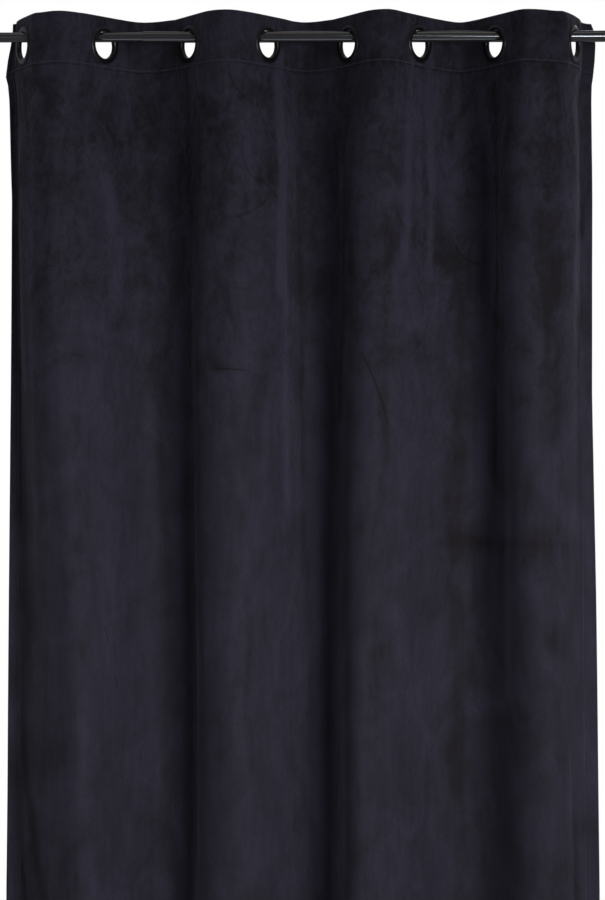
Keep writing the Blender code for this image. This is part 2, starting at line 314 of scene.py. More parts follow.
# Fine wrinkles in the pile: start, end, how far the middle bows aside, width, how deep, which also sets how
# much painted shade darkens the line
FINE_WRINKLES = (
    (0.494, 0.566, 0.566, 0.570, 0.001, 0.0014, 1.0),
    (0.823, 0.455, 0.856, 0.532, 0.003, 0.0016, 0.9),
    (0.852, 0.524, 0.918, 0.676, 0.006, 0.0018, 1.0),
    (0.518, 0.200, 0.512, 0.262, 0.008, 0.0020, 0.8),
    (0.548, 0.196, 0.566, 0.268, -0.010, 0.0020, 0.9),
    (0.556, 0.262, 0.618, 0.300, 0.008, 0.0018, 0.8),
    (0.512, 0.330, 0.600, 0.286, -0.010, 0.0020, 0.7),
    (0.520, 0.090, 0.600, 0.150, -0.018, 0.0018, 0.7),
    (0.575, 0.110, 0.628, 0.215, -0.014, 0.0018, 0.7),
    (0.215, 0.972, 0.222, 1.000, 0.001, 0.0016, 1.3),
    (0.236, 1.050, 0.242, 1.078, 0.001, 0.0016, 1.3),
    (1.040, 0.352, 1.100, 0.396, -0.010, 0.0020, 0.9),
)

# Lie of the pile, mixed with painted light: painted highlights along lit flanks, painted shade in valleys and
# creases, and painted light in some valleys. Columns: start, end, width, and how much lighter or darker it
# looks there
PILE_LIE_AND_LIGHT_MARKS = (
    (0.635, 0.050, 0.625, 0.440, 0.016, 3.30),
    (0.634, 0.400, 0.650, 0.800, 0.014, 1.00),
    (0.940, 0.040, 0.930, 0.400, 0.014, 1.30),
    (0.985, 0.050, 0.990, 0.420, 0.014, 1.40),
    (0.958, 0.060, 0.958, 0.300, 0.014, 0.80),
    (0.962, 0.090, 0.962, 0.140, 0.018, 0.60),
    (1.012, 0.080, 1.008, 0.140, 0.018, 0.60),
    (0.240, 0.230, 0.264, 0.430, 0.026, 0.90),
    (0.108, 0.110, 0.084, 0.960, 0.010, 0.50),
    (0.214, 0.450, 0.232, 1.120, 0.034, 0.45),
    (0.045, 0.110, 0.040, 1.200, 0.034, -0.90),
    (0.350, 0.500, 0.353, 1.380, 0.022, -0.45),
    (0.380, 0.450, 0.379, 1.400, 0.014, 0.60),
    (0.732, 0.560, 0.746, 1.420, 0.020, 0.90),
    (0.846, 0.950, 0.850, 1.430, 0.018, 0.70),
    (1.110, 0.100, 1.118, 0.800, 0.024, 1.10),
    (1.282, 0.090, 1.288, 0.700, 0.016, -0.50),
    (0.985, 0.070, 1.000, 0.260, 0.034, 0.55),
    (0.930, 0.160, 0.928, 0.340, 0.012, 0.55),
    (0.552, 0.150, 0.552, 0.260, 0.020, 0.45),
    (1.086, 0.150, 1.090, 0.520, 0.012, 0.90),
    (1.190, 0.350, 1.200, 1.100, 0.016, 1.30),
    (1.120, 0.180, 1.126, 0.450, 0.014, 0.50),
    (1.352, 0.060, 1.340, 0.480, 0.012, 0.60),
    (1.380, 0.500, 1.386, 1.000, 0.012, 0.40),
    (1.394, 0.084, 1.394, 0.098, 0.010, 1.20),
    (0.330, 0.080, 0.325, 0.600, 0.030, -0.50),
    (0.160, 0.100, 0.195, 0.130, 0.032, -0.55),
    (0.150, 0.380, 0.180, 0.440, 0.032, -0.40),
    (0.345, 0.330, 0.350, 0.390, 0.024, -0.55),
    (0.690, 0.080, 0.702, 0.900, 0.014, -0.55),
    (0.893, 0.340, 0.905, 0.680, 0.016, -0.65),
    (0.500, 0.200, 0.520, 0.700, 0.034, -0.30),
    (1.030, 0.370, 1.062, 0.440, 0.040, -1.15),
    (1.255, 0.370, 1.275, 0.430, 0.032, -0.90),
    (1.262, 0.100, 1.265, 0.580, 0.022, -0.75),
    (1.235, 0.380, 1.238, 0.560, 0.016, -0.50),
    (1.270, 0.800, 1.276, 1.020, 0.030, -0.50),
    (0.915, 0.840, 0.915, 1.160, 0.030, -0.45),
    (1.095, 0.950, 1.097, 1.420, 0.020, -0.40),
    (0.125, 0.700, 0.118, 1.150, 0.016, 0.45),
    (1.062, 0.300, 1.090, 1.250, 0.030, -0.65),
    (1.030, 0.843, 1.330, 0.849, 0.016, -0.55),
    (1.060, 0.826, 1.120, 0.848, 0.024, -0.60),
    (0.490, 0.564, 0.570, 0.571, 0.010, -0.35),
    (1.100, 0.960, 1.115, 1.080, 0.014, -0.50),
    (1.342, 1.230, 1.345, 1.430, 0.018, -0.60),
    (0.020, 1.200, 0.030, 1.440, 0.014, -0.50),
    (0.034, 1.150, 0.092, 1.420, 0.016, -1.00),
    (0.428, 0.090, 0.428, 1.400, 0.020, -0.70),
    (0.792, 0.090, 0.795, 0.640, 0.020, -0.70),
    (1.146, 0.100, 1.146, 0.760, 0.016, -0.60),
    (0.030, 1.150, 0.055, 1.440, 0.028, -0.45),
)

STEPS_IN_FLANK = 60
CLOSE_COLUMNS = 0.0040
FOLD_COLUMNS = 0.0082
RING_PATCH = 0.034
STITCH_GROOVE = 0.0011
GROOVE_WIDTH = 0.0009
HEM_RIDGE = 0.0011
RIDGE_INSET = 0.0028
RIDGE_WIDTH = 0.0014
HEM_TURN = 0.0040
SIDE_TURN = 0.0030
THREAD_PITCH = 0.0007


def ease(amount):
    amount = np.clip(amount, 0.0, 1.0)
    return amount * amount * (3.0 - 2.0 * amount)


def between_levels(table, column, drop):
    values = np.array([[row[column + 2 * level] for level in range(len(LEVELS))] for row in table])
    now = values[:, 0]
    for level in range(1, len(LEVELS)):
        share = ease((drop - LEVELS[level - 1]) / (LEVELS[level] - LEVELS[level - 1]))
        now = now + share * (values[:, level] - values[:, level - 1])
    return now


def fold_line(drop, stretch=1.0):
    """The cloth's middle seen from above, at a distance below the top edge."""
    edges = np.array(SIDE_EDGES)
    crest_x = between_levels(CRESTS, 1, drop)
    crest_x[0] = np.interp(drop, edges[:, 0], edges[:, 1])
    crest_x[-1] = np.interp(drop, edges[:, 0], edges[:, 2])
    crest_y = stretch * between_levels(CRESTS, 2, drop)
    opening = between_levels(FLANKS, 0, drop)
    lean = between_levels(FLANKS, 1, drop)
    way = np.linspace(0.0, 1.0, STEPS_IN_FLANK, endpoint=False)
    across = (1.0 - np.cos(math.pi * way)) / 2.0
    xs, ys = [], []
    for flank in range(len(FLANKS)):
        sway = opening[flank] * np.sin(2.0 * math.pi * way) / (2.0 * math.pi)
        along = way - sway + lean[flank] * np.sin(math.pi * way) ** 2
        xs.append(crest_x[flank] + (crest_x[flank + 1] - crest_x[flank]) * along)
        ys.append(crest_y[flank] + (crest_y[flank + 1] - crest_y[flank]) * across)
    xs.append(crest_x[-1:])
    ys.append(crest_y[-1:])
    return np.concatenate(xs), np.concatenate(ys)


def distance_along(xs, ys):
    return np.concatenate([[0.0], np.cumsum(np.hypot(np.diff(xs), np.diff(ys)))])


def fitted_line(drop):
    """The fold line, deepened until it is as long as the cloth is wide."""
    low, high = 0.5, 2.0
    for _ in range(24):
        stretch = (low + high) / 2.0
        if distance_along(*fold_line(drop, stretch))[-1] < FLAT_WIDTH:
            low = stretch
        else:
            high = stretch
    xs, ys = fold_line(drop, stretch)
    return distance_along(xs, ys), xs, ys


def ring_height(angle, rod_radius):
    """Height of a ring's centre when its inner wall hangs on the rod."""
    around = np.linspace(0.0, 2.0 * math.pi, 181)
    deep = np.linspace(-0.0034, 0.0020, 9)[:, None]
    y = RING_HOLE * np.cos(around) * math.sin(angle) - deep * math.cos(angle)
    low, high = -RING_HOLE, 0.0
    for _ in range(30):
        height = (low + high) / 2.0
        if np.hypot(y, height + RING_HOLE * np.sin(around)).min() - rod_radius < HANG_GAP:
            low = height
        else:
            high = height
    return high


def place_rings():
    """Where the heading crosses the rod: distance along the cloth, x, angle and height."""
    along, xs, ys = fitted_line(RING_FROM_TOP)
    places = []
    for i in np.nonzero(np.diff(np.sign(ys)))[0]:
        share = ys[i] / (ys[i] - ys[i + 1])
        x = xs[i] + share * (xs[i + 1] - xs[i])
        angle = math.atan2(ys[i + 2] - ys[i - 1], xs[i + 2] - xs[i - 1])
        radius = THIN_RADIUS if x < THICK_START else THICK_RADIUS
        places.append((along[i] + share * (along[i + 1] - along[i]), x, angle, ring_height(angle, radius)))
    return places


def evenly(start, end, step):
    return list(np.linspace(start, end, max(2, round((end - start) / step) + 1)))


def panel_columns():
    """Distances along the cloth: close at the hems and rings, wider on the open folds."""
    stops = [0.0, 0.0015, 0.006, 0.012, 0.018, 0.0225, 0.0242, SIDE_HEM, 0.0258, 0.0275, 0.0305]
    for along, _, _, _ in rings:
        stops += evenly(stops[-1], along - RING_PATCH, FOLD_COLUMNS)[1:]
        stops += evenly(along - RING_PATCH, along + RING_PATCH, CLOSE_COLUMNS)[1:]
    mirrored = [FLAT_WIDTH - stop for stop in reversed(stops[:11])]
    stops += evenly(stops[-1], mirrored[0], 0.005)[1:] + mirrored[1:]
    return np.array(stops)


def panel_rows():
    """Distances below the top edge: close in the heading and its seam, wider below the picture."""
    rows = [0.0, 0.0015, 0.0045] + evenly(0.0080, 0.0760, 0.0034)
    rows += [0.0774, 0.0784, 0.0792, 0.0800, 0.0807, 0.0814, HEADING]
    rows += [0.0828, 0.0840, 0.0855, 0.0866, 0.0880, 0.0910, 0.0950]
    rows += evenly(0.100, 0.440, 0.0095) + evenly(0.440, 1.430, 0.0150)[1:] + evenly(1.430, 2.500, 0.0290)[1:]
    rows += [2.5045, 2.5065, 2.5085, DROP - BOTTOM_HEM, 2.5115, 2.515]
    rows += [2.535, 2.560, 2.585, 2.5965, 2.5985, DROP]
    return np.array(rows)


def soft_strokes(table, along, below):
    """Sum of the listed strokes, each soft across and fading at its ends."""
    total = np.zeros_like(along)
    for start_u, start_v, end_u, end_v, width, rise in table:
        way = np.array([end_u - start_u, end_v - start_v])
        length = math.hypot(*way)
        way /= length
        forward = (along - start_u) * way[0] + (below - start_v) * way[1]
        aside = (below - start_v) * way[0] - (along - start_u) * way[1]
        fade = ease((forward + width) / (2.2 * width)) * ease((length + width - forward) / (2.2 * width))
        total += rise * np.exp(-(aside / (0.62 * width)) ** 2) * fade
    return total


def natural_unevenness(along, below):
    """Small wandering of the cloth between the folds, longer down the cloth than across it."""
    height = np.zeros_like(along)
    for row in range(along.shape[0]):
        for column in range(along.shape[1]):
            u, v = along[row, column], below[row, column]
            broad = noise.noise(Vector((u * 11.0, v * 3.2, 4.0)))
            small = noise.noise(Vector((u * 34.0, v * 13.0, 9.0)))
            height[row, column] = 0.0016 * broad + 0.0005 * small
    return height


def seam_relief(along, below):
    """Groove of each stitch line and the ridge of doubled cloth that puffs up beside it."""
    relief = np.zeros_like(along)
    pasts = (below - HEADING, (DROP - BOTTOM_HEM) - below, along - SIDE_HEM, FLAT_WIDTH - SIDE_HEM - along)
    for past in pasts:
        relief -= STITCH_GROOVE * np.exp(-(past / GROOVE_WIDTH) ** 2)
        relief += HEM_RIDGE * np.exp(-((past + RIDGE_INSET) / RIDGE_WIDTH) ** 2)
    return relief


def panel_middle(columns, rows):
    """Middle of the hung cloth, flat round each ring."""
    heights = np.interp(columns, [ring[0] for ring in rings], [ring[3] for ring in rings])
    left = ease((rings[0][0] - FLAT_ROUND_RING - columns) / (rings[0][0] - FLAT_ROUND_RING))
    right_start = rings[-1][0] + FLAT_ROUND_RING
    right = ease((columns - right_start) / (FLAT_WIDTH - right_start))
    top = heights + RING_FROM_TOP - LEFT_CORNER_DROOP * left - RIGHT_CORNER_DROOP * right
    points = np.zeros((len(rows), len(columns), 3))
    for row, drop in enumerate(rows):
        along, xs, ys = fitted_line(drop)
        points[row, :, 0] = np.interp(columns, along, xs)
        points[row, :, 1] = np.interp(columns, along, ys)
        points[row, :, 2] = top - drop
    for along, x, angle, height in rings:
        aside = columns[None, :] - along
        below = rows[:, None] - RING_FROM_TOP
        far = np.maximum(np.abs(aside), np.abs(below) * np.ones_like(aside))
        flat = ease((BLEND_TO_FOLD - far) / (BLEND_TO_FOLD - FLAT_ROUND_RING))[..., None]
        patch = np.zeros_like(points)
        patch[..., 0] = x + aside * math.cos(angle)
        patch[..., 1] = aside * math.sin(angle)
        patch[..., 2] = height - below
        points = points + flat * (patch - points)
    return points


def facing_of(points, columns, rows):
    across = np.gradient(points, columns, axis=1)
    down = np.gradient(points, rows, axis=0)
    facing = np.cross(down, across)
    return facing / np.linalg.norm(facing, axis=-1, keepdims=True)


def panel_surfaces(columns, rows):
    """Front and back points of the cloth with its creases, seams and thickness."""
    along, below = np.meshgrid(columns, rows)
    middle = panel_middle(columns, rows)
    facing = facing_of(middle, columns, rows)
    calm = np.ones_like(along)
    for ring_along, _, angle, _ in rings:
        far = np.maximum(np.abs(along - ring_along), np.abs(below - RING_FROM_TOP))
        calm *= ease((far - FLAT_ROUND_RING) / 0.030)
        flat = far < FLAT_ROUND_RING + 0.001
        facing[flat] = (math.sin(angle), -math.cos(angle), 0.0)
    moved = calm * (soft_strokes(CREASES, along, below) + natural_unevenness(along, below))
    moved += seam_relief(along, below)
    in_hem = (below <= HEADING + HEM_TURN) | (below >= DROP - BOTTOM_HEM - HEM_TURN)
    side_end = SIDE_HEM + SIDE_TURN
    in_hem |= (along <= side_end) | (along >= FLAT_WIDTH - side_end)
    thick = np.where(in_hem, DOUBLED, CLOTH)
    front = middle + facing * (DOUBLED / 2.0 + moved)[..., None]
    back = front - facing * thick[..., None]
    return front, back, facing, in_hem


def open_ring_holes(front, back, columns, rows):
    """Which cells the eyelets leave open, with the cells' edge drawn onto a circle under the rings."""
    rows_n, columns_n = len(rows), len(columns)
    along, below = np.meshgrid(columns, rows)
    gone = np.zeros((rows_n - 1, columns_n - 1), bool)
    for ring_along, _, angle, _ in rings:
        inside = np.hypot(along - ring_along, below - RING_FROM_TOP) < HOLE_REACH
        touched = inside[:-1, :-1] | inside[1:, :-1] | inside[:-1, 1:] | inside[1:, 1:]
        gone |= touched
        corner = np.zeros((rows_n, columns_n), bool)
        kept = np.zeros((rows_n, columns_n), bool)
        for down in (0, 1):
            for over in (0, 1):
                corner[down:rows_n - 1 + down, over:columns_n - 1 + over] |= touched
                kept[down:rows_n - 1 + down, over:columns_n - 1 + over] |= ~touched
        for row, column in zip(*np.nonzero(corner & kept)):
            aside, down = along[row, column] - ring_along, below[row, column] - RING_FROM_TOP
            grow = CLOTH_HOLE / math.hypot(aside, down) - 1.0
            shift = np.array([aside * math.cos(angle), aside * math.sin(angle), -down]) * grow
            front[row, column] += shift
            back[row, column] += shift
            columns_at[row, column] += aside * grow
            rows_at[row, column] += down * grow
    return gone


def panel_mesh(front, back, gone, in_hem, lie_and_light):
    """Closed sheet: front, back, rounded outer edges and the walls of the ring holes."""
    rows_n, columns_n, _ = front.shape
    count = rows_n * columns_n
    points = [front.reshape(-1, 3), back.reshape(-1, 3)]
    flat = np.stack([columns_at.ravel(), rows_at.ravel()], axis=-1)
    flats = [flat, flat]
    lie_and_light_values = [lie_and_light.ravel(), lie_and_light.ravel()]
    faces, looks = [], []

    def cell_corners(row, column):
        corner = row * columns_n + column
        return corner, corner + columns_n, corner + columns_n + 1, corner + 1

    for row in range(rows_n - 1):
        for column in range(columns_n - 1):
            if gone[row, column]:
                continue
            quad = cell_corners(row, column)
            faces += [quad, tuple(count + i for i in reversed(quad))]
            looks += [0, 0 if in_hem[row:row + 2, column:column + 2].all() else 1]
    rim = list(range(columns_n)) + [row * columns_n + columns_n - 1 for row in range(1, rows_n)]
    rim += [(rows_n - 1) * columns_n + column for column in range(columns_n - 2, -1, -1)]
    rim += [row * columns_n for row in range(rows_n - 2, 0, -1)]
    rim_front, rim_back = points[0][rim], points[1][rim]
    centre, half = (rim_front + rim_back) / 2.0, (rim_front - rim_back) / 2.0
    run = np.roll(centre, -1, axis=0) - np.roll(centre, 1, axis=0)
    outward = np.cross(half, run)
    outward *= (np.linalg.norm(half, axis=1) / np.linalg.norm(outward, axis=1))[:, None]
    loops = [rim]
    for turn in (45.0, 90.0, 135.0):
        angle = math.radians(turn)
        first = sum(len(part) for part in points)
        loops.append(list(range(first, first + len(rim))))
        points.append(centre + half * math.cos(angle) - outward * math.sin(angle))
        flats.append(flat[rim])
        lie_and_light_values.append(lie_and_light.ravel()[rim])
    loops.append([count + i for i in rim])
    for here, there in zip(loops, loops[1:]):
        for i in range(len(rim)):
            j = (i + 1) % len(rim)
            faces.append((here[i], here[j], there[j], there[i]))
            looks.append(0)
    edges = {}
    for row, column in zip(*np.nonzero(gone)):
        quad = cell_corners(row, column)
        for a, b in zip(quad, quad[1:] + quad[:1]):
            if (b, a) in edges:
                del edges[(b, a)]
            else:
                edges[(a, b)] = True
    for a, b in edges:
        faces.append((a, b, count + b, count + a))
        looks.append(1)
    mesh = bpy.data.meshes.new("velvet_curtain")
    points, flats = np.concatenate(points), np.concatenate(flats)
    used = np.unique(np.concatenate([np.array(face) for face in faces]))
    new_number = np.full(len(points), -1)
    new_number[used] = np.arange(len(used))
    mesh.from_pydata(points[used].tolist(), [], [tuple(int(new_number[i]) for i in face) for face in faces])
    mesh.polygons.foreach_set("material_index", looks)
    mesh.polygons.foreach_set("use_smooth", [True] * len(faces))
    corner_point = np.zeros(len(mesh.loops), int)
    mesh.loops.foreach_get("vertex_index", corner_point)
    flat_cloth = mesh.uv_layers.new(name="flat_cloth")
    flats = flats[used]
    flats[:, 1] = DROP - flats[:, 1]
    flat_cloth.data.foreach_set("uv", flats[corner_point].ravel())
    # Per-point tone marks: the pile's lie together with painted highlights and painted shade.
    pile_lie_and_painted_light = mesh.attributes.new("pile_lie_and_painted_light", "FLOAT", "POINT")
    pile_lie_and_painted_light.data.foreach_set("value", np.concatenate(lie_and_light_values)[used])
    mesh.update()
    return mesh


rings = place_rings()
panel_u, panel_v = panel_columns(), panel_rows()
columns_at, rows_at = np.meshgrid(panel_u, panel_v)
panel_front, panel_back, panel_facing, hem_cells = panel_surfaces(panel_u, panel_v)
# Tone marks on each point: the pile's lie with painted highlights on lit flanks and painted shade in valleys
# and creases.
pile_lie_and_light_at = soft_strokes(PILE_LIE_AND_LIGHT_MARKS, columns_at, rows_at)
ring_cells = open_ring_holes(panel_front, panel_back, panel_u, panel_v)


def value_node(tree, operation, *given):
    """Maths node whose inputs are numbers or sockets."""
    return new_node(tree, "ShaderNodeMath", enumerate(given), operation=operation).outputs["Value"]


def weighted_sum(tree, parts, total=0.0):
    """Sum of sockets, each times its weight."""
    for socket, weight in parts:
        total = value_node(tree, "MULTIPLY_ADD", socket, weight, total)
    return total


def soft_band(tree, past, middle, half_width):
    """Mask of a soft line where a distance is near the middle's."""
    near = value_node(tree, "DIVIDE", value_node(tree, "SUBTRACT", past, middle), half_width)
    square = value_node(tree, "MULTIPLY", near, near)
    return value_node(tree, "EXPONENT", value_node(tree, "MULTIPLY", square, -1.0))


def noise_at(tree, position, scale, detail, stretch=(1.0, 1.0, 1.0), distortion=0.0):
    """Noise about zero on the flat cloth, stretched along it where asked."""
    placed = new_node(tree, "ShaderNodeMapping", {"Vector": position, "Scale": stretch})
    look = {"Scale": scale, "Detail": detail, "Distortion": distortion}
    grain = new_node(tree, "ShaderNodeTexNoise", {"Vector": placed.outputs["Vector"], **look})
    return value_node(tree, "SUBTRACT", grain.outputs["Fac"], 0.5)


def wrinkle_group():
    """Mask of one fine bowed line on the flat cloth, soft across and fading at both ends."""
    inputs = (("Position", "Vector"), ("From", "Vector"), ("To", "Vector"), ("Bow", 0.0), ("Width", 0.002))
    group, start = new_group("fine_wrinkle", "ShaderNodeTree", inputs, ("Line",))

    def vector_node(operation, *given):
        return new_node(group, "ShaderNodeVectorMath", enumerate(given), operation=operation).outputs

    way = vector_node("SUBTRACT", start["To"], start["From"])["Vector"]
    here = vector_node("SUBTRACT", start["Position"], start["From"])["Vector"]
    length = vector_node("LENGTH", way)["Value"]
    unit = vector_node("NORMALIZE", way)["Vector"]
    forward = vector_node("DOT_PRODUCT", here, unit)["Value"]
    crossed = vector_node("CROSS_PRODUCT", unit, here)["Vector"]
    aside = new_node(group, "ShaderNodeSeparateXYZ", {"Vector": crossed}).outputs["Z"]
    share = value_node(group, "DIVIDE", forward, length)
    arch = value_node(group, "MULTIPLY", share, value_node(group, "SUBTRACT", 1.0, share))
    bowed = value_node(group, "MULTIPLY", value_node(group, "MULTIPLY", arch, 4.0), start["Bow"])
    soft = soft_band(group, aside, bowed, start["Width"])
    ends = value_node(group, "MULTIPLY", value_node(group, "MAXIMUM", arch, 0.0), 6.0)
    fade = value_node(group, "MINIMUM", ends, 1.0)
    new_node(group, "NodeGroupOutput", {"Line": value_node(group, "MULTIPLY", soft, fade)})
    return group


def pile_group():
    """Tone and height of crushed velvet pile: clouds, brushed streaks, crush lines and nap."""
    inputs = (("Position", "Vector"), ("Lie and Light", 0.0), ("Clouds", 0.80), ("Streaks", 0.50), ("Crush", 0.62),
              ("Nap", 0.95))
    group, start = new_group("velvet_pile", "ShaderNodeTree", inputs, ("Tone", "Height"))
    position = start["Position"]
    clouds = noise_at(group, position, 15.0, 5.0, (1.0, 0.7, 1.0), 1.0)
    streaks = noise_at(group, position, 85.0, 3.0, (1.0, 0.16, 1.0), 0.3)
    folded = noise_at(group, position, 19.0, 3.0, (1.0, 0.55, 1.0), 1.1)
    nap = noise_at(group, position, 480.0, 2.0)
    mottle = noise_at(group, position, 75.0, 4.0, (1.0, 0.75, 1.0), 0.9)
    near = value_node(group, "MULTIPLY", value_node(group, "ABSOLUTE", folded), 26.0)
    lines = value_node(group, "SUBTRACT", value_node(group, "MINIMUM", near, 1.0), 0.75)
    patchy = value_node(group, "MAXIMUM", value_node(group, "ADD", clouds, 0.06), 0.0)
    drawn = value_node(group, "MULTIPLY", lines, patchy)
    place = new_node(group, "ShaderNodeSeparateXYZ", {"Vector": position})
    span = {"From Min": DROP - 0.75, "From Max": DROP - 0.15, "To Min": 0.55, "To Max": 2.20}
    handled = new_node(group, "ShaderNodeMapRange", {"Value": place.outputs["Y"], **span})
    uneven = value_node(group, "MULTIPLY_ADD", clouds, 0.6, mottle)
    rumpled = value_node(group, "MULTIPLY", uneven, handled.outputs["Result"])
    crushed = value_node(group, "MULTIPLY_ADD", drawn, 1.2, rumpled)
    # The lie input carries the pile's lie together with painted highlights and painted shade, and shifts the
    # tone.
    tone = value_node(group, "MULTIPLY_ADD", start["Lie and Light"], 0.42, 0.5)
    sockets = {"Clouds": clouds, "Streaks": streaks, "Crush": crushed, "Nap": nap}
    tone = weighted_sum(group, [(socket, start[label]) for label, socket in sockets.items()], tone)
    height = weighted_sum(group, ((nap, 0.00022), (crushed, 0.0012), (streaks, 0.00025), (folded, 0.0003)))
    new_node(group, "NodeGroupOutput", {"Tone": value_node(group, "MAXIMUM", tone, 0.0), "Height": height})
    return group


def heading_seam(tree, position):
    """Gathers along the heading's stitches, with the tone rising and falling with them, painted shade in the
    stitch groove, a painted highlight on the ridge of doubled cloth above it and painted shade beyond that
    ridge.
    """
    place = new_node(tree, "ShaderNodeSeparateXYZ", {"Vector": position})
    past = value_node(tree, "SUBTRACT", DROP - HEADING, place.outputs["Y"])
    gathers = noise_at(tree, position, 110.0, 2.0, (1.0, 0.12, 1.0))
    pucker = value_node(tree, "MULTIPLY", soft_band(tree, past, 0.0, 0.0075), gathers)
    # Painted shade in the stitch groove, a painted highlight on the ridge above it and painted shade beyond
    # the ridge.
    painted_groove_shade = soft_band(tree, past, 0.0002, 0.0010)
    painted_ridge_highlight = soft_band(tree, past, -0.0026, 0.0013)
    painted_ridge_shade = soft_band(tree, past, -0.0056, 0.0012)
    return pucker, weighted_sum(tree, ((painted_groove_shade, -0.50), (painted_ridge_highlight, 0.62), (painted_ridge_shade, -0.16)))


def dress_velvet(tree, shader):
    """Navy-black pile made lighter or darker by its lie and by painted highlights and painted shade, with
    fine wrinkles darkened by painted shade, and gathers, painted shade and a painted highlight along the
    heading seam.
    """
    flat = new_node(tree, "ShaderNodeUVMap", uv_map="flat_cloth").outputs["UV"]
    lie_and_light = new_node(tree, "ShaderNodeAttribute", attribute_name="pile_lie_and_painted_light").outputs["Fac"]
    pile = new_node(tree, "ShaderNodeGroup", {"Position": flat, "Lie and Light": lie_and_light}, node_tree=velvet_pile)
    wrinkles = []
    for from_u, from_v, to_u, to_v, bow, width, deep in FINE_WRINKLES:
        ends = {"From": (from_u, DROP - from_v, 0.0), "To": (to_u, DROP - to_v, 0.0)}
        line = new_node(tree, "ShaderNodeGroup", {"Position": flat, "Bow": bow, "Width": width, **ends},
                        node_tree=fine_wrinkle)
        wrinkles.append((line.outputs["Line"], deep))
    lines = weighted_sum(tree, wrinkles)
    pucker, seam_painted_light = heading_seam(tree, flat)
    # The fine wrinkles darken the tone as painted shade, and the gathers lighten the tone where they rise and
    # darken it where they sink.
    tone = weighted_sum(tree, ((lines, -0.42), (pucker, 0.8)), pile.outputs["Tone"])
    # The seam adds painted shade in its groove and beyond the ridge, and a painted highlight on the ridge.
    tone = value_node(tree, "MAXIMUM", value_node(tree, "ADD", tone, seam_painted_light), 0.0)
    gloss = new_node(tree, "ShaderNodeMapRange", {"Value": tone, "To Min": 0.10, "To Max": 0.34})
    tree.links.new(gloss.outputs["Result"], shader.inputs["Sheen Weight"])
    depth = weighted_sum(tree, ((lines, -0.0006), (pucker, 0.0016)))
    height = value_node(tree, "ADD", depth, pile.outputs["Height"])
    tint_and_relief(tree, shader, tone, (0.0080, 0.0064, 0.0076), (0.0298, 0.0265, 0.0434), height)


def dress_back(tree, shader):
    """Close plain weave of the ground cloth, with slubs along the threads."""
    flat = new_node(tree, "ShaderNodeUVMap", uv_map="flat_cloth").outputs["UV"]
    place = new_node(tree, "ShaderNodeSeparateXYZ", {"Vector": flat})
    waves = []
    for axis in "XY":
        turn = value_node(tree, "MULTIPLY", place.outputs[axis], 2.0 * math.pi / THREAD_PITCH)
        waves.append(value_node(tree, "SINE", turn))
    weave = value_node(tree, "MULTIPLY", *waves)
    slubs = noise_at(tree, flat, 260.0, 3.0, (1.0, 0.1, 1.0))
    clouds = noise_at(tree, flat, 12.0, 4.0)
    tone = weighted_sum(tree, ((weave, 0.16), (slubs, 0.6), (clouds, 0.5)), 0.5)
    height = weighted_sum(tree, ((weave, 0.00008), (slubs, 0.00025)))
    tint_and_relief(tree, shader, tone, (0.0160, 0.0155, 0.0195), (0.0420, 0.0410, 0.0510), height)


fine_wrinkle = wrinkle_group()
velvet_pile = pile_group()
velvet, velvet_tree, velvet_shader = new_material("navy_black_velvet", (0.020, 0.019, 0.027), 0.8, 0.0)
velvet_shader.inputs["Sheen Roughness"].default_value = 0.45
velvet_shader.inputs["Sheen Tint"].default_value = (0.48, 0.44, 0.57, 1.0)
velvet_shader.inputs["Specular IOR Level"].default_value = 0.15
dress_velvet(velvet_tree, velvet_shader)
woven_back, back_tree, back_shader = new_material("woven_back", (0.020, 0.020, 0.024), 0.9, 0.0)
back_shader.inputs["Specular IOR Level"].default_value = 0.2
dress_back(back_tree, back_shader)

curtain_mesh = panel_mesh(panel_front, panel_back, ring_cells, hem_cells, pile_lie_and_light_at)
curtain = add_piece("velvet_curtain", curtain_mesh, [velvet, woven_back])
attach(curtain, "root")
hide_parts("curtain_panel")


# Stitching.
# Lockstitch in dark polyester thread along the heading, both side hems and the bottom hem, seen on the
# pile side and on the back. Each stitch is a short rounded bead of thread lying in its groove.
STITCH_PITCH = 0.0034
STITCH_LENGTH = 0.0030
STITCH_WIDTH = 0.00055
STITCH_LIFT = 0.0001


def seam_lines(name, surface, outward):
    """The four seams as lines of points on one side of the cloth, with the way that side faces."""
    heading, hem = [int(np.argmin(np.abs(panel_v - at))) for at in (HEADING, DROP - BOTTOM_HEM)]
    left, right = [int(np.argmin(np.abs(panel_u - at))) for at in (SIDE_HEM, FLAT_WIDTH - SIDE_HEM)]
    picks = (np.s_[heading, 1:-1], np.s_[hem, 1:-1], np.s_[1:-1, left], np.s_[1:-1, right])
    points, faces_out, edges = [], [], []
    for pick in picks:
        first = sum(len(part) for part in points)
        points.append(surface[pick] + outward[pick] * STITCH_LIFT)
        faces_out.append(outward[pick])
        edges += [(first + i, first + i + 1) for i in range(len(points[-1]) - 1)]
    mesh = bpy.data.meshes.new(name)
    mesh.from_pydata(np.concatenate(points).tolist(), edges, [])
    facing = mesh.attributes.new("facing", "FLOAT_VECTOR", "POINT")
    facing.data.foreach_set("vector", np.concatenate(faces_out).ravel())
    return mesh


def row_finished(tree, points, instance, turning, scale, material):
    """Ends a tree with instances on points, real, smooth and in their material."""
    spread = new_node(tree, "GeometryNodeInstanceOnPoints",
                      {"Points": points, "Instance": instance, "Rotation": turning, "Scale": scale})
    real = new_node(tree, "GeometryNodeRealizeInstances", {"Geometry": spread.outputs["Instances"]})
    smooth = new_node(tree, "GeometryNodeSetShadeSmooth", {"Geometry": real.outputs["Geometry"]})
    finish = new_node(tree, "GeometryNodeSetMaterial",
                      {"Geometry": smooth.outputs["Geometry"], "Material": material})
    new_node(tree, "NodeGroupOutput", {"Geometry": finish.outputs["Geometry"]})
    return tree


